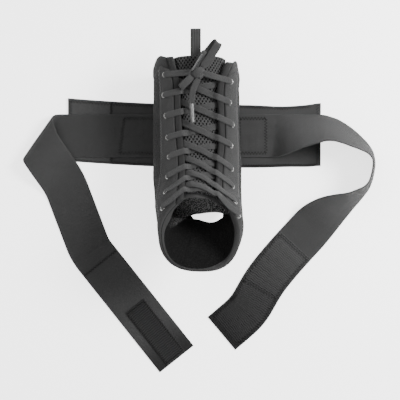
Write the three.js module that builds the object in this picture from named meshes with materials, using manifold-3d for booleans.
// A lace-up ankle support, lying on its back with the laces up. Millimetres, +Z up, and the leg opening
// faces +Y.
import * as THREE from "three";
import { mergeVertices } from "three/addons/utils/BufferGeometryUtils.js";
import Module from "manifold-3d";

const wasm = await Module();
wasm.setup();

// Driving sizes of the body
const BODY_WIDTH = 94; // leg tube, side to side
const BODY_HEIGHT = 113; // floor to the instep edge of the foot opening
const LEG_LENGTH = 159; // ankle line to the top edge
const FOOT_REACH = 77; // ankle line to the front edge of the sole
const WALL = 3; // padded wall of the quarters, the back and the sole
const PANEL_THICK = 1.2; // eyelet facing
const HEM_WIDTH = 6.6; // soft edge along the lacing slit
const TONGUE_THICK = 4;
const TONGUE_HALF = 32; // half width of the tongue
const RIM_TUCK = 5; // how far the right side of the foot opening's edge leans in
const GAP = 0.3; // clearance between neighbours

// Eyelets and lace
const EYELET_OUTER = 4.3; // flange radius
const EYELET_BARREL = 2.95; // barrel radius
const EYELET_HOLE = 2.5; // clear radius
const EYELET_FLANGE = 0.7; // flange thickness
const LACE_WIDTH = 6.8;
const LACE_THICK = 1.2;
const LACE_TIGHT = 5.6; // width where the lace is pulled tight across the slit
const LACE_GAP = 0.7; // between the layers of lace, the flaps and the tongue
const LACE_BUNCHED = [3.4, 1.8]; // width and thickness inside an eyelet
const AGLET_LENGTH = 21.5;
const AGLET_WIDTH = 4.6;
const AGLET_THICK = 2.4;
const TAB_WIDTH = 11.5;
const TAB_THICK = 1.2;
const TAB_RISE = 29; // how far the pull tab stands past the top edge

// Band and straps
const BAND_WIDTH = 73;
const BAND_THICK = 1.8;
const BAND_LEFT = 153; // reach to the left of the origin line
const BAND_RIGHT = 140;
const BAND_Y = 74; // centreline where it passes behind the leg
const BAND_BOW = 7.5; // how far its left end bends up
const STRAP_WIDTH = 50;
const STRAP_THICK = 1.5;
const LEFT_STRAP_LENGTH = 454;
const RIGHT_STRAP_LENGTH = 461;
const STRAP_Y = 74.3; // centreline of both straps on the band
const STRAP_START = 44; // where both straps start, under the sides of the tube
const ROLL_RADIUS = 6.5; // soft fold of the left strap
const PAD_THICK = 1.2;
const LEFT_PAD = [78, 27]; // hook pad, along and across the strap
const RIGHT_PAD = 137; // length of the right pad, over the whole width
const BAND_PAD = 50; // length of the pad on the band's left end

const HALF_WIDTH = BODY_WIDTH / 2;
const BACK_LEVEL = BAND_THICK + GAP;
const TONGUE_TOP = -(WALL + 2 * LACE_THICK + 4 * LACE_GAP);
const LACE_LOW = TONGUE_TOP + LACE_GAP + LACE_THICK / 2;
const LACE_MID = LACE_LOW + LACE_THICK + 1.4 * LACE_GAP;
const PANEL_LOW = 1.5 * GAP;
const PANEL_TOP = PANEL_LOW + PANEL_THICK;
const FLANGE_TOP = PANEL_TOP + 2 * GAP + EYELET_FLANGE;
const LACE_HIGH = FLANGE_TOP + GAP + LACE_THICK / 2;
const STRAP_ON_BAND = BAND_THICK + GAP + STRAP_THICK / 2;
const STRAP_ON_FLOOR = STRAP_THICK / 2;

// Cross-sections from the leg opening (row 0) to the foot opening (row 8). frontY and backY are shares of
// LEG_LENGTH above the ankle line and of FOOT_REACH below it, frontZ and backZ of BODY_HEIGHT, x and half of
// HALF_WIDTH. waist is the widest level between back and front, and the last two columns are the fullness.
const SECTIONS = [
  {
    frontY: 1.0, frontZ: 0.708, backY: 1.0, backZ: 0,
    x: -0.089, half: 0.965, waist: 0.46, front: 2.9, back: 3,
  },
  {
    frontY: 0.8, frontZ: 0.722, backY: 0.78, backZ: 0,
    x: -0.089, half: 1.0, waist: 0.46, front: 2.9, back: 3,
  },
  {
    frontY: 0.61, frontZ: 0.726, backY: 0.55, backZ: 0,
    x: -0.085, half: 1.0, waist: 0.46, front: 2.8, back: 3,
  },
  {
    frontY: 0.435, frontZ: 0.74, backY: 0.31, backZ: 0,
    x: -0.077, half: 1.013, waist: 0.46, front: 2.7, back: 3,
  },
  {
    frontY: 0.29, frontZ: 0.79, backY: 0.08, backZ: 0,
    x: -0.064, half: 1.025, waist: 0.46, front: 2.5, back: 3,
  },
  {
    frontY: 0.18, frontZ: 0.86, backY: -0.2, backZ: 0.01,
    x: -0.05, half: 1.012, waist: 0.47, front: 2.3, back: 2.8,
  },
  {
    frontY: 0.115, frontZ: 0.925, backY: -0.42, backZ: 0.17,
    x: -0.04, half: 1.0, waist: 0.49, front: 2.05, back: 2.5,
  },
  {
    frontY: 0.07, frontZ: 0.965, backY: -0.34, backZ: 0.42,
    x: -0.035, half: 0.985, waist: 0.5, front: 1.9, back: 2.4,
  },
  {
    frontY: 0.04, frontZ: 1.0, backY: -1.0, backZ: 0.82,
    x: 0.034, half: 0.945, waist: 0.5, front: 1.8, back: 2.55,
  },
];
const LAST = SECTIONS.length - 1;

// Half widths of the lacing slit at those sections, as shares of HALF_WIDTH.
const SLIT = {
  left: [0.645, 0.478, 0.448, 0.41, 0.357, 0.347, 0.351, 0.362, 0.394],
  right: [0.7, 0.43, 0.425, 0.438, 0.396, 0.374, 0.366, 0.394, 0.436],
};

// Eyelet places: x as a share of HALF_WIDTH, y as a share of LEG_LENGTH (FOOT_REACH where it is below zero).
const EYELETS = {
  left: [
    { x: -0.8, y: 0.86 }, { x: -0.819, y: 0.72 }, { x: -0.77, y: 0.578 }, { x: -0.728, y: 0.427 },
    { x: -0.69, y: 0.293 }, { x: -0.72, y: 0.157 }, { x: -0.766, y: 0.047 }, { x: -0.83, y: -0.12 },
  ],
  right: [
    { x: 0.698, y: 0.814 }, { x: 0.67, y: 0.669 }, { x: 0.734, y: 0.518 }, { x: 0.698, y: 0.373 },
    { x: 0.71, y: 0.211 }, { x: 0.723, y: 0.09 }, { x: 0.777, y: -0.038 }, { x: 0.85, y: -0.22 },
  ],
};

// The quarters' top edge: how many sections it lies below section 0, from the slit round to the back.
const TOP_DROP = [0.12, 0.0, 0.14, 0.36, 0.44, 0.42, 0.38];
const RIGHT_DROP = 0.19; // the right quarter sits this much lower

// The quarters' back edges, in degrees from the front, at the sections: seam, heel opening, seam.
const BACK_EDGE = {
  left: [150, 150, 150, 152, 158, 168, 174, 170, 156],
  right: [150, 150, 150, 150, 150, 149, 148, 148, 146],
};
const HEEL_TOP = 5.0; // section where the heel opening starts, at the back
const HEEL_ARCH = 0.2; // how far its sides reach past that
const SOLE_START = 7.08; // section where the sole starts, at its middle
const SOLE_ARCH = 0.25; // how far its sides reach towards the leg
const SEAM = 1.2; // degrees between the panels

// Headings and banks of the straps, in degrees, at shares of their length.
const LEFT_ROUTE = [
  { at: 0, heading: 180 }, { at: 0.33, heading: 180 },
  { at: 0.36, heading: 166 }, { at: 0.44, heading: 166 },
  { at: 0.485, heading: 178.5 }, { at: 0.625, heading: 178.5 },
  { at: 0.662, heading: 160.7 }, { at: 1, heading: 160.7 },
];
const CREASE_HEADING = 234.6; // direction of the left strap's fold line
const CREASE_AT = 0.2934; // share of the left strap's length at the fold
const RIGHT_ROUTE = [
  { at: 0, heading: 0, bank: 0 }, { at: 0.094, heading: 0, bank: 0 },
  { at: 0.118, heading: 0, bank: 20 }, { at: 0.148, heading: 0, bank: 34 },
  { at: 0.178, heading: 0, bank: 42 }, { at: 0.207, heading: -4, bank: 47 },
  { at: 0.227, heading: -14, bank: 50 }, { at: 0.271, heading: -32, bank: 56 },
  { at: 0.316, heading: -43, bank: 63 }, { at: 0.345, heading: -48, bank: 70 },
  { at: 0.37, heading: -62, bank: 75 }, { at: 0.395, heading: -85, bank: 79 },
  { at: 0.424, heading: -100, bank: 79 }, { at: 0.454, heading: -107, bank: 79 },
  { at: 0.484, heading: -128, bank: 77 }, { at: 0.523, heading: -130, bank: 65 },
  { at: 0.568, heading: -128, bank: 36 }, { at: 0.622, heading: -128, bank: 8 },
  { at: 0.642, heading: -130, bank: 4 }, { at: 0.681, heading: -133, bank: 0 },
  { at: 0.72, heading: -132, bank: 0 }, { at: 0.77, heading: -130, bank: 0 },
  { at: 0.799, heading: -127, bank: 0 }, { at: 0.839, heading: -119, bank: 0 },
  { at: 0.869, heading: -120, bank: 0 }, { at: 0.898, heading: -128, bank: 0 },
  { at: 0.938, heading: -139, bank: 0 }, { at: 1, heading: -140, bank: 0 },
];

const V = (x, y, z) => new THREE.Vector3(x, y, z);
const mix = (a, b, t) => a + (b - a) * t;
const clamp = (x, lo, hi) => Math.min(Math.max(x, lo), hi);
const rad = THREE.MathUtils.degToRad;

function smooth(t) {
  const u = clamp(t, 0, 1);
  return u * u * (3 - 2 * u);
}

// A smooth curve through evenly spaced values.
function through(values, at) {
  const last = values.length - 1;
  const i = clamp(Math.floor(at), 0, last - 1);
  const t = clamp(at, 0, last) - i;
  const p = [i - 1, i, i + 1, i + 2].map((k) => values[clamp(k, 0, last)]);
  const curve = (2 * p[0] - 5 * p[1] + 4 * p[2] - p[3]) * t * t
    + (3 * p[1] - p[0] - 3 * p[2] + p[3]) * t ** 3;
  return 0.5 * (2 * p[1] + (p[2] - p[0]) * t + curve);
}

// A straight-line reading of a table of rows that have a column "at".
function reading(rows, column, at) {
  const next = rows.findIndex((row) => row.at >= at);
  if (next <= 0) return rows[next === 0 ? 0 : rows.length - 1][column];
  const [a, b] = [rows[next - 1], rows[next]];
  return mix(a[column], b[column], (at - a.at) / (b.at - a.at));
}

const lengthways = (share) => share * (share < 0 ? FOOT_REACH : LEG_LENGTH);
const columns = (name, scale) => SECTIONS.map((row) => scale(row[name]));
const SHAPE = {
  frontY: columns("frontY", lengthways),
  frontZ: columns("frontZ", (share) => share * BODY_HEIGHT),
  backY: columns("backY", lengthways),
  backZ: columns("backZ", (share) => BACK_LEVEL + share * BODY_HEIGHT),
  x: columns("x", (share) => share * HALF_WIDTH),
  half: columns("half", (share) => share * HALF_WIDTH),
  waist: columns("waist", (share) => share),
  front: columns("front", (power) => power),
  back: columns("back", (power) => power),
};

function section(v) {
  const row = Object.fromEntries(Object.entries(SHAPE).map(([name, values]) => [name, through(values, v)]));
  return { ...row, halfRight: row.half - RIM_TUCK * smooth((v - LAST + 0.4) / 0.4) };
}

// The body's outer surface: a full oval round the leg and foot, a radians from the front, at section v.
function skin(a, v) {
  const s = section(v);
  const power = 2 / (Math.cos(a) >= 0 ? s.front : s.back);
  const reach = Math.cos(a) >= 0 ? 1 - s.waist : s.waist;
  const deep = Math.sign(Math.cos(a)) * Math.abs(Math.cos(a)) ** power * reach + s.waist;
  const half = Math.sin(a) > 0 ? s.halfRight : -s.half;
  const x = s.x + half * Math.abs(Math.sin(a)) ** power;
  return V(x, mix(s.backY, s.frontY, deep), mix(s.backZ, s.frontZ, deep));
}

const STEP = 0.02;

// The outward direction of that surface and the direction along it towards the leg opening.
function directions(a, v) {
  const round = skin(a + STEP, v).sub(skin(a - STEP, v));
  const up = skin(a, Math.max(v - STEP, 0)).sub(skin(a, Math.min(v + STEP, LAST))).normalize();
  return { out: round.cross(up).normalize(), up };
}

// A point d outside the body's surface.
function shell(a, v, d) {
  return skin(a, v).addScaledVector(directions(a, v).out, d);
}

// The angle of the point on the front of section v that lies at x.
function frontAngle(x, v) {
  const s = section(v);
  const share = clamp((x - s.x) / (x > s.x ? s.halfRight : s.half), -1, 1);
  return Math.sign(share) * Math.asin(Math.abs(share) ** (s.front / 2));
}

// The section whose front passes over a place seen from above.
function sectionOver(x, y) {
  let [lo, hi] = [0, LAST];
  for (let i = 0; i < 40; i++) {
    const v = (lo + hi) / 2;
    if (skin(frontAngle(x, v), v).y > y) lo = v;
    else hi = v;
  }
  return (lo + hi) / 2;
}

const SIDE = { left: -1, right: 1 };
const slitX = (side, v) => SIDE[side] * through(SLIT[side], v) * HALF_WIDTH;

function geometryOf(positions, index) {
  const geometry = new THREE.BufferGeometry();
  geometry.setAttribute("position", new THREE.Float32BufferAttribute(positions, 3));
  geometry.setIndex(index);
  return geometry;
}

// Six times the volume inside a closed mesh, below zero when its faces point inwards.
function volumeOf(positions, index) {
  const at = (k) => V(...positions.slice(3 * k, 3 * k + 3));
  let total = 0;
  for (let i = 0; i < index.length; i += 3) {
    total += at(index[i]).dot(at(index[i + 1]).cross(at(index[i + 2])));
  }
  return total;
}

// A closed sheet: surface(s, t, d) between d = lo and d = hi, on the grid of the stations s and t.
function sheet(surface, across, along, lo, hi) {
  const positions = [];
  for (const d of [lo, hi]) {
    for (const t of along) {
      for (const s of across) positions.push(...surface(s, t, d).toArray());
    }
  }
  const [n, m] = [across.length, along.length];
  const at = (i, j, k) => k * n * m + j * n + i;
  const index = [];
  const quad = (a, b, c, d) => index.push(a, b, c, a, c, d);
  for (let j = 0; j < m - 1; j++) {
    for (let i = 0; i < n - 1; i++) {
      quad(at(i, j, 1), at(i + 1, j, 1), at(i + 1, j + 1, 1), at(i, j + 1, 1));
      quad(at(i, j, 0), at(i, j + 1, 0), at(i + 1, j + 1, 0), at(i + 1, j, 0));
    }
    quad(at(0, j, 0), at(0, j, 1), at(0, j + 1, 1), at(0, j + 1, 0));
    quad(at(n - 1, j, 0), at(n - 1, j + 1, 0), at(n - 1, j + 1, 1), at(n - 1, j, 1));
  }
  for (let i = 0; i < n - 1; i++) {
    quad(at(i, 0, 0), at(i + 1, 0, 0), at(i + 1, 0, 1), at(i, 0, 1));
    quad(at(i, m - 1, 0), at(i, m - 1, 1), at(i + 1, m - 1, 1), at(i + 1, m - 1, 0));
  }
  if (volumeOf(positions, index) < 0) index.reverse();
  return geometryOf(positions, index);
}

const stations = (count, from = 0, to = 1) =>
  Array.from({ length: count + 1 }, (_, i) => mix(from, to, i / count));

// The sheet surface on both sides of a middle surface middle(s, t).
function offsetFrom(middle) {
  const h = 1e-3;
  return (s, t, d) => {
    const ds = middle(Math.min(s + h, 1), t).sub(middle(Math.max(s - h, 0), t));
    const dt = middle(s, Math.min(t + h, 1)).sub(middle(s, Math.max(t - h, 0)));
    return middle(s, t).addScaledVector(ds.cross(dt).normalize(), d);
  };
}

// A flat ribbon through points {p, side, width, thick}; side is the direction across it.
function ribbon(points) {
  const positions = [];
  points.forEach((point, k) => {
    const before = points[Math.max(k - 1, 0)].p;
    const after = points[Math.min(k + 1, points.length - 1)].p;
    const tangent = after.clone().sub(before).normalize();
    const side = point.side.clone().addScaledVector(tangent, -point.side.dot(tangent)).normalize();
    const face = tangent.clone().cross(side);
    for (const [i, j] of [[-1, -1], [1, -1], [1, 1], [-1, 1]]) {
      const corner = point.p.clone().addScaledVector(side, (i * point.width) / 2);
      positions.push(...corner.addScaledVector(face, (j * point.thick) / 2).toArray());
    }
  });
  const index = [0, 1, 2, 0, 2, 3];
  for (let k = 0; k < points.length - 1; k++) {
    for (let i = 0; i < 4; i++) {
      const [a, b] = [4 * k + i, 4 * k + ((i + 1) % 4)];
      index.push(a, a + 4, b + 4, a, b + 4, b);
    }
  }
  const last = 4 * (points.length - 1);
  index.push(last, last + 2, last + 1, last, last + 3, last + 2);
  if (volumeOf(positions, index) < 0) index.reverse();
  return geometryOf(positions, index);
}

function solidOf(geometry) {
  const bare = geometry.clone();
  bare.deleteAttribute("normal");
  bare.deleteAttribute("uv");
  const merged = mergeVertices(bare, 1e-4);
  const vertProperties = new Float32Array(merged.attributes.position.array);
  const triVerts = new Uint32Array(merged.index.array);
  return new wasm.Manifold(new wasm.Mesh({ numProp: 3, vertProperties, triVerts }));
}

function cutBy(geometry, cutters) {
  const solid = cutters.reduce((rest, cutter) => rest.subtract(solidOf(cutter)), solidOf(geometry));
  const mesh = solid.getMesh();
  return geometryOf(Array.from(mesh.vertProperties), Array.from(mesh.triVerts));
}

const root = new THREE.Group();

function cloth(color, roughness = 0.95) {
  return new THREE.MeshStandardMaterial({ color, roughness, metalness: 0 });
}

const MATERIALS = {
  body: cloth(0x4a4a4b),
  facing: cloth(0x505051),
  inner: cloth(0x2a2a2b),
  mesh: cloth(0x3c3c3d),
  lace: cloth(0x565657),
  elastic: cloth(0x454546),
  pad: cloth(0x38383a),
  clear: new THREE.MeshStandardMaterial({ color: 0xb9b9b8, roughness: 0.3, metalness: 0 }),
  nickel: new THREE.MeshStandardMaterial({ color: 0xb8b8b6, roughness: 0.3, metalness: 1 }),
};

function add(name, geometry, material) {
  const mesh = new THREE.Mesh(geometry, MATERIALS[material]);
  mesh.name = name;
  root.add(mesh);
  return mesh;
}

// Body walls
const backEdge = (side, v) => rad(through(BACK_EDGE[side], v));

// The angle round the back at section v, from the right quarter's edge (s = 0) to the left one's.
function betweenEdges(s, v) {
  const [right, left] = ["right", "left"].map((side) => backEdge(side, v) + rad(SEAM));
  return mix(right, 2 * Math.PI - left, s);
}

const drop = (side, s) => through(TOP_DROP, s * (TOP_DROP.length - 1)) + (side === "right" ? RIGHT_DROP : 0);

// A place on a quarter: s runs from the slit round to the back edge, t from the top edge to the foot opening.
function quarterPlace(side, s, t, inset) {
  const v = mix(drop(side, s), LAST, t);
  const start = Math.abs(frontAngle(slitX(side, v) + SIDE[side] * inset, v));
  return [SIDE[side] * mix(start, backEdge(side, v), s), v];
}

const QUARTER_ROUND = stations(11);
const QUARTER_ALONG = stations(17);

function quarter(side) {
  const surface = (s, t, d) => shell(...quarterPlace(side, s, t, HEM_WIDTH + 1.6 * GAP), d);
  return sheet(surface, QUARTER_ROUND, QUARTER_ALONG, -WALL, 0);
}

function hem(side) {
  const surface = (s, t, d) => {
    const v = mix(drop(side, 0), LAST, t);
    return shell(frontAngle(slitX(side, v) + SIDE[side] * s * HEM_WIDTH, v), v, d);
  };
  return sheet(surface, stations(1), stations(17), -WALL, PANEL_TOP);
}

const RIM_ROWS = 0.15; // width of the rim strip in sections, at the side

// The facing follows the quarter's own grid, so that it lies on it everywhere.
function eyeletPanel(side) {
  const surface = (s, t, d) => shell(...quarterPlace(side, s, t, HEM_WIDTH + 1.6 * GAP), d);
  const along = [0.003, ...QUARTER_ALONG.slice(1, -1), 1 - (RIM_ROWS + 0.03) / LAST];
  return sheet(surface, QUARTER_ROUND.slice(0, 5), along, PANEL_LOW, PANEL_TOP);
}

function backPanel() {
  const surface = (s, t, d) => {
    const lower = HEEL_TOP + HEEL_ARCH * (2 * s - 1) ** 2;
    const v = mix(TOP_DROP[TOP_DROP.length - 1], lower, t);
    return shell(betweenEdges(s, v), v, d);
  };
  return sheet(surface, stations(6), stations(14), -WALL, 0);
}

function solePanel() {
  const surface = (s, t, d) => {
    const v = mix(SOLE_START - SOLE_ARCH * (2 * s - 1) ** 2, LAST, t);
    return shell(betweenEdges(s, v), v, d);
  };
  return sheet(surface, stations(6), stations(6), -WALL, 0);
}

function rimBinding() {
  const surface = (s, t, d) => {
    const v = LAST - RIM_ROWS * (1 - t);
    const [a, b] = ["right", "left"].map((side) => {
      return Math.abs(frontAngle(slitX(side, v) + SIDE[side] * (HEM_WIDTH + 1.6 * GAP), v));
    });
    return shell(mix(a, 2 * Math.PI - b, s), v, d);
  };
  return sheet(surface, stations(36), stations(1), GAP, GAP + PANEL_THICK);
}

function tongue() {
  const surface = (s, t, d) => {
    const across = 2 * s - 1;
    const v = mix(0.03 + 0.12 * across ** 2, LAST - TONGUE_END, t);
    const half = TONGUE_HALF * mix(1, 0.86, smooth(t));
    return shell(frontAngle(half * across, v), v, d);
  };
  return sheet(surface, stations(8), stations(14), TONGUE_TOP - TONGUE_THICK, TONGUE_TOP);
}

// Eyelets
const PLACES = Object.fromEntries(Object.entries(EYELETS).map(([side, rows]) => [side, rows.map((row) => {
  const x = row.x * HALF_WIDTH;
  const v = sectionOver(x, lengthways(row.y));
  return { x, v, a: frontAngle(x, v) };
})]));

// Turns a geometry made round +Y so that +Y points out of the body at an eyelet.
function seated(geometry, place) {
  const { out } = directions(place.a, place.v);
  const turn = new THREE.Quaternion().setFromUnitVectors(V(0, 1, 0), out);
  const at = skin(place.a, place.v);
  return geometry.applyMatrix4(new THREE.Matrix4().compose(at, turn, V(1, 1, 1)));
}

function eyelet(place) {
  const under = FLANGE_TOP - EYELET_FLANGE;
  const profile = [
    [EYELET_HOLE, -WALL], [EYELET_BARREL, -WALL], [EYELET_BARREL, under], [EYELET_OUTER, under],
    [EYELET_HOLE, FLANGE_TOP], [EYELET_HOLE, -WALL],
  ];
  const points = profile.map(([r, y]) => new THREE.Vector2(r, y));
  return seated(new THREE.LatheGeometry(points, 8), place);
}

function eyeletHole(place, radius = EYELET_BARREL + GAP) {
  return seated(new THREE.CylinderGeometry(radius, radius, 4 * WALL, 8), place);
}

function withHoles(geometry, side) {
  return cutBy(geometry, PLACES[side].map((place) => eyeletHole(place)));
}

// Lace. Each half starts at one of the lowest eyelets and changes sides at every row.
function lacePoint(x, v, d, width = LACE_WIDTH, thick = LACE_THICK) {
  const a = frontAngle(x, v);
  return { p: shell(a, v, d), side: directions(a, v).up, width, thick };
}

const OTHER = { left: "right", right: "left" };
const NECK = 1.3; // how far the lace bends out on each side of an eyelet
const BAR_ARCH = 0.5; // the same as ROW_ARCH below, for the bar that joins the two lowest eyelets
const TONGUE_END = 1.45; // sections between the tongue's end and the foot opening

// How far the lower rows are pulled towards the leg opening, in sections, at even shares of their length.
const STRAIGHT = [0, 0];
const ROW_ARCH = {
  left: {
    4: [0, 0.1, 0],
    5: [0, 0.22, 0.35, 0.3, 0],
    6: [0, 0.4, 0.86, 0.93, 0.85, 0.6, 0],
    7: [0, 0.05, 0.62, 0.75, 0.5, 0.1, 0],
  },
  right: {
    4: [0, 0.1, 0],
    5: [0, 0.2, 0.35, 0.3, 0],
    6: [0, -0.05, 0.6, 0.87, 0.82, 0.56, 0],
    7: [0, -0.3, 0.05, 0.62, 0.82, 0.7, 0],
  },
};

// The stretch from inside one eyelet, up through it, over its own flap and the tongue and under the other
// flap.
function laceRow(side, row) {
  const [from, to] = [PLACES[side][row], PLACES[OTHER[side]][row - 1]];
  const inward = -SIDE[side];
  const level = side === "right" ? LACE_MID : LACE_LOW;
  const arch = ROW_ARCH[side][row] ?? STRAIGHT;
  const v = (x) => {
    const share = (x - from.x) / (to.x - from.x);
    return mix(from.v, to.v, share) - through(arch, share * (arch.length - 1));
  };
  const edge = (at, which) => stations(6).reduce((x) => slitX(which, v(x)), at);
  const near = edge(from.x, side);
  const away = edge(to.x, OTHER[side]);
  const point = (x, d) => lacePoint(x, v(x), d, d < 0 ? LACE_TIGHT : LACE_WIDTH);
  return [
    lacePoint(from.x, from.v, -WALL - 0.1, ...LACE_BUNCHED),
    lacePoint(from.x, from.v, FLANGE_TOP - 0.2, ...LACE_BUNCHED),
    lacePoint(from.x + inward * NECK, v(from.x), LACE_HIGH + 0.6, 4.4, 1.4),
    point(from.x + inward * 5.5, LACE_HIGH + 0.1),
    point(mix(from.x, near, 0.62), LACE_HIGH),
    point(near + inward * 1.3, LACE_HIGH - 0.1),
    point(near + inward * 2.4, mix(LACE_HIGH, level, 0.4)),
    point(near + inward * 4.1, level),
    ...stations(5, 0.3, 0.76).map((share) => point(mix(near, away, share), level)),
    point(away - inward * 2, level),
    point(away + inward * 3, level),
    point(mix(away, to.x, 0.55), level),
    point(to.x - inward * 4.5, level),
    lacePoint(to.x - inward * NECK, to.v, Math.min(level, -WALL - 1.1), 4.8, 1.5),
  ];
}

function laceHalf(side) {
  const points = [];
  let now = side;
  for (let row = 7; row > 0; row--) {
    points.push(...laceRow(now, row));
    now = OTHER[now];
  }
  points.push(...laceEnd(now));
  return ribbon(points);
}

// The knot and the bow lie over the slit, below the top edge.
const KNOT = V(-2.2, 138.4, 85.5);
const KNOT_SIZE = V(6.2, 5.6, 3.4);

// From the top eyelet over the flap to the knot.
function laceEnd(side) {
  const from = PLACES[side][0];
  const inward = -SIDE[side];
  const reach = KNOT.x - inward * (KNOT_SIZE.x + 1.2);
  const v = (x) => mix(from.v, sectionOver(KNOT.x, KNOT.y), (x - from.x) / (KNOT.x - from.x));
  const point = (x, d) => lacePoint(x, v(x), d);
  return [
    lacePoint(from.x, from.v, -WALL - 0.1, ...LACE_BUNCHED),
    lacePoint(from.x, from.v, FLANGE_TOP - 0.2, ...LACE_BUNCHED),
    lacePoint(from.x + inward * NECK, from.v, LACE_HIGH + 0.6, 4.4, 1.4),
    point(from.x + inward * 5.5, LACE_HIGH + 0.1),
    point(mix(from.x, reach, 0.5), LACE_HIGH),
    point(mix(from.x, reach, 0.75), LACE_HIGH + 0.6),
    { ...point(reach, LACE_HIGH + 1.2), width: 5.6 },
  ];
}

// The stretch that joins the lowest eyelets inside, under the laced rows and below the tongue's end.
function bottomBar() {
  const [a, b] = [PLACES.left[7], PLACES.right[7]];
  const inset = NECK + 3;
  const level = LACE_LOW - LACE_THICK - 1.5 * LACE_GAP;
  return ribbon(stations(14).map((t) => {
    const middle = smooth(3 * t) * smooth(3 * (1 - t));
    const v = mix(a.v, b.v, t) - BAR_ARCH * middle;
    return lacePoint(mix(a.x + inset, b.x - inset, t), v, level, LACE_WIDTH - 1);
  }));
}

function knot() {
  return new THREE.SphereGeometry(1, 12, 8).scale(...KNOT_SIZE.toArray()).translate(...KNOT.toArray());
}

// Offsets from the knot's centre along a route over the bow; a cord's points are chosen by hand.
const BOW = {
  bow_loop_upper: [
    [5, 5.6, 2.9], [11, 13.5, 4], [17, 22, 4.6], [21, 28.6, 4.2], [21.6, 31.8, 2.4], [18.6, 31.6, 0.4],
    [13.6, 26, -0.4], [8.4, 19.2, -0.2], [4.6, 13, 0], [1.6, 7.8, 0.4],
  ],
  bow_loop_lower: [
    [-6.6, -4.6, 1.9], [-10.5, -8.4, 3.6], [-15, -12.8, 4], [-18.2, -16, 3.2], [-18.4, -16.4, 1.6],
    [-15.4, -13.6, 0.5], [-10.6, -9.2, 0.4], [-6.8, -5.8, 0],
  ],
  lace_tail_upper: [
    [-2.2, 6.5, 2.3], [1.2, 12.4, 2.6], [4.2, 17.2, 3], [7, 21.4, 4.2], [7.2, 21.8, 6.2], [5.2, 19.4, 7.2],
  ],
  lace_tail_lower: [
    [0.6, -7.2, 1], [-2.4, -12.4, 2.4], [-5, -18.6, 2.8], [-6.4, -26, 2.4], [-7, -33, 2],
  ],
};

function bowRibbon(name, width = LACE_WIDTH) {
  const route = BOW[name].map((offset) => KNOT.clone().add(V(...offset)));
  const heading = route[2].clone().sub(route[0]).setZ(0).normalize();
  const side = V(-heading.y, heading.x, 0);
  return ribbon(route.map((p) => ({ p, side, width, thick: LACE_THICK })));
}

// A flattened tube that starts where a tail ends and runs on in the direction given.
function aglet(name, direction) {
  const end = V(...BOW[name].at(-1)).add(KNOT);
  const along = direction.clone().normalize();
  const geometry = new THREE.CylinderGeometry(0.5, 0.5, AGLET_LENGTH, 10).scale(AGLET_WIDTH, 1, AGLET_THICK);
  const side = V(-along.y, along.x, 0).normalize();
  const basis = new THREE.Matrix4().makeBasis(side, along, side.clone().cross(along));
  const centre = end.addScaledVector(along, AGLET_LENGTH / 2 + 2 * GAP);
  return geometry.applyMatrix4(basis.setPosition(centre));
}

// Pull tab: a webbing loop over the tongue's top edge, seen from the side as a long hairpin.
function pullTab() {
  const x = -4.8;
  const at = (v, d) => shell(frontAngle(x, v), v, d);
  const front = TONGUE_TOP + GAP + TAB_THICK / 2;
  const rear = TONGUE_TOP - TONGUE_THICK - GAP - TAB_THICK / 2;
  const outer = at(0, front);
  const inner = at(0, rear);
  const tip = outer.y + TAB_RISE;
  const route = [
    at(0.42, front), at(0.2, front), outer, V(outer.x, mix(outer.y, tip, 0.4), outer.z - 2.5),
    V(outer.x, tip - 2, outer.z - 3.4), V(outer.x, tip, outer.z - 4.4), V(outer.x, tip - 2, outer.z - 5.4),
    V(outer.x, mix(outer.y, tip, 0.4), mix(outer.z, inner.z, 0.85)), inner, at(0.3, rear),
  ];
  return ribbon(route.map((p) => ({ p, side: V(1, 0, 0), width: TAB_WIDTH, thick: TAB_THICK })));
}

// Band and straps
function bandMiddle(x) {
  return BAND_Y + BAND_BOW * Math.max(-x / BAND_LEFT, 0) ** 1.6 + 0.8 * smooth(x / BAND_RIGHT);
}

function bandSurface(s, t, d) {
  const x = mix(-BAND_LEFT, BAND_RIGHT, t);
  return V(x, bandMiddle(x) + BAND_WIDTH * (s - 0.5), d);
}

const band = () => sheet(bandSurface, stations(1), stations(14), 0, BAND_THICK);

function bandPad() {
  const end = BAND_PAD / (BAND_LEFT + BAND_RIGHT);
  const surface = (s, t, d) => bandSurface(mix(0.02, 0.98, s), mix(0.004, end, t), d);
  const top = STRAP_ON_BAND - STRAP_THICK / 2 - GAP / 3;
  return sheet(surface, stations(1), stations(3), BAND_THICK + GAP / 3, top);
}

const ROUTE_STEPS = 200;

// The plan positions along a route of headings, from its start.
function walked(rows, length, start) {
  const places = [start.clone()];
  for (let i = 0; i < ROUTE_STEPS; i++) {
    const heading = rad(reading(rows, "heading", (i + 0.5) / ROUTE_STEPS));
    const step = V(Math.cos(heading), Math.sin(heading), 0).multiplyScalar(length / ROUTE_STEPS);
    places.push(places[i].clone().add(step));
  }
  return (t) => {
    const i = clamp(Math.floor(t * ROUTE_STEPS), 0, ROUTE_STEPS - 1);
    return places[i].clone().lerp(places[i + 1], t * ROUTE_STEPS - i);
  };
}

// Left strap: a flat pattern that rolls over the fold line and comes back on top of itself.
const leftCentre = walked(LEFT_ROUTE, LEFT_STRAP_LENGTH, V(-STRAP_START, STRAP_Y, 0));
const creaseAlong = V(Math.cos(rad(CREASE_HEADING)), Math.sin(rad(CREASE_HEADING)), 0);
const creaseOut = V(creaseAlong.y, -creaseAlong.x, 0);
const creasePoint = leftCentre(CREASE_AT);

const CREASE_SHEAR = STRAP_WIDTH / Math.tan(rad(CREASE_HEADING)) / LEFT_STRAP_LENGTH;

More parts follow.
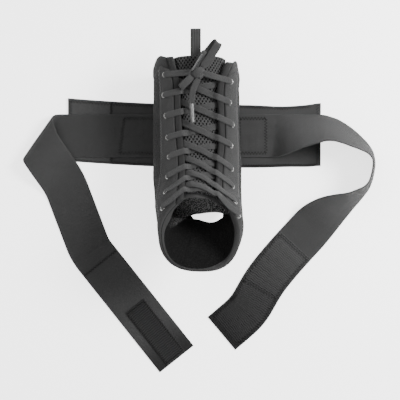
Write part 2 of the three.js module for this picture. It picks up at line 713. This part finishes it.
// Near the fold the lines across the strap run parallel to it.
function leftMiddle(s, t) {
  const near = smooth((t - 0.06) / 0.16) * smooth((0.6 - t) / 0.2);
  const place = clamp(t + CREASE_SHEAR * (s - 0.5) * near, 0, 1);
  const heading = rad(reading(LEFT_ROUTE, "heading", place));
  const across = V(-Math.sin(heading), Math.cos(heading), 0);
  const flat = leftCentre(place).addScaledVector(across, STRAP_WIDTH * (s - 0.5));
  const beyond = flat.clone().sub(creasePoint).dot(creaseOut);
  if (beyond <= 0) return flat.setZ(STRAP_ON_BAND);
  const turn = Math.min(beyond / ROLL_RADIUS, Math.PI);
  const back = Math.max(beyond - Math.PI * ROLL_RADIUS, 0);
  flat.addScaledVector(creaseOut, ROLL_RADIUS * Math.sin(turn) - back - beyond);
  const top = STRAP_ON_BAND + ROLL_RADIUS * (1 - Math.cos(turn));
  const lowerEdge = STRAP_Y - STRAP_WIDTH / 2;
  const overStrap = smooth((flat.y - lowerEdge + 14) / 12);
  const rest = mix(STRAP_ON_FLOOR, STRAP_ON_BAND + STRAP_THICK + 2 * GAP, overStrap);
  return flat.setZ(mix(top, rest, smooth(back / 48)));
}

const LEFT_STATIONS = [
  ...stations(3, 0, 0.26), ...stations(9, CREASE_AT - 0.006, 0.343), ...stations(8, 0.355, 0.5),
  ...stations(2, 0.54, 0.61), ...stations(5, 0.63, 0.68), ...stations(4, 0.73, 1),
];
const leftSurface = offsetFrom(leftMiddle);
const leftStrap = () => sheet(leftSurface, stations(2), LEFT_STATIONS, -STRAP_THICK / 2, STRAP_THICK / 2);

// Right strap: its outer edge stays down while the strap banks up to the turn and lies down again after it.
const rightEdge = walked(RIGHT_ROUTE, RIGHT_STRAP_LENGTH, V(STRAP_START, STRAP_Y + STRAP_WIDTH / 2, 0));

function rightMiddle(s, t) {
  const heading = rad(reading(RIGHT_ROUTE, "heading", t));
  const bank = rad(reading(RIGHT_ROUTE, "bank", t));
  const across = V(Math.sin(heading) * Math.cos(bank), -Math.cos(heading) * Math.cos(bank), Math.sin(bank));
  const onFloor = smooth((t - 0.2) / 0.05);
  const level = mix(STRAP_ON_BAND, STRAP_ON_FLOOR, onFloor);
  return rightEdge(t).setZ(level).addScaledVector(across, STRAP_WIDTH * s);
}

const RIGHT_STATIONS = [...stations(2, 0, 0.12), ...stations(28, 0.14, 0.68), ...stations(7, 0.72, 1)];
const rightSurface = offsetFrom(rightMiddle);
const rightStrap = () => sheet(rightSurface, stations(2), RIGHT_STATIONS, -STRAP_THICK / 2, STRAP_THICK / 2);

// Pads lie on top of the straps' ends.
function leftPad() {
  const [long, wide] = LEFT_PAD.map((size, i) => size / [LEFT_STRAP_LENGTH, STRAP_WIDTH][i]);
  const surface = (s, t, d) => leftSurface(mix(0.23, 0.23 + wide, s), mix(0.998 - long, 0.998, t), d);
  return sheet(surface, stations(2), stations(6), STRAP_THICK / 2 + GAP, STRAP_THICK / 2 + GAP + PAD_THICK);
}

function rightPad() {
  const long = RIGHT_PAD / RIGHT_STRAP_LENGTH;
  const surface = (s, t, d) => rightSurface(mix(0.02, 0.98, s), mix(0.998 - long, 0.998, t), d);
  return sheet(surface, stations(2), stations(8), STRAP_THICK / 2 + GAP, STRAP_THICK / 2 + GAP + PAD_THICK);
}

add("back_panel", backPanel(), "body");
add("sole_panel", solePanel(), "body");
const LOWEST = [PLACES.left[7], PLACES.right[7]];
const rimHoles = LOWEST.map((place) => eyeletHole(place, EYELET_OUTER + GAP));
add("foot_rim_binding", cutBy(rimBinding(), rimHoles), "facing");
add("tongue", tongue(), "mesh");
add("pull_tab", pullTab(), "lace");
for (const side of ["left", "right"]) {
  add(`${side}_quarter`, withHoles(quarter(side), side), "body");
  add(`${side}_eyelet_panel`, withHoles(eyeletPanel(side), side), "facing");
  add(`${side}_slit_hem`, hem(side), "body");
  PLACES[side].forEach((place, k) => add(`${side}_eyelet_${k + 1}`, eyelet(place), "nickel"));
}
add("lace_a", laceHalf("left"), "lace");
add("lace_b", laceHalf("right"), "lace");
add("lace_bottom_bar", bottomBar(), "lace");
add("lace_knot", knot(), "lace");
add("bow_loop_upper", bowRibbon("bow_loop_upper"), "lace");
add("bow_loop_lower", bowRibbon("bow_loop_lower"), "lace");
add("lace_tail_upper", bowRibbon("lace_tail_upper", LACE_WIDTH - 2), "lace");
add("lace_tail_lower", bowRibbon("lace_tail_lower"), "lace");
add("aglet_upper", aglet("lace_tail_upper", V(-10.5, -16.5, -0.6)), "clear");
add("aglet_lower", aglet("lace_tail_lower", V(1.2, -20, -0.6)), "clear");
add("back_band", band(), "elastic");
add("band_end_pad", bandPad(), "pad");
add("left_strap", leftStrap(), "elastic");
add("right_strap", rightStrap(), "elastic");
add("left_hook_pad", leftPad(), "pad");
add("right_loop_pad", rightPad(), "pad");

// The origin lies on the floor under the middle of the whole object.
const box = new THREE.Box3().setFromObject(root);
const middle = box.getCenter(V(0, 0, 0));
root.position.set(-middle.x, -middle.y, -box.min.z);

export default root;
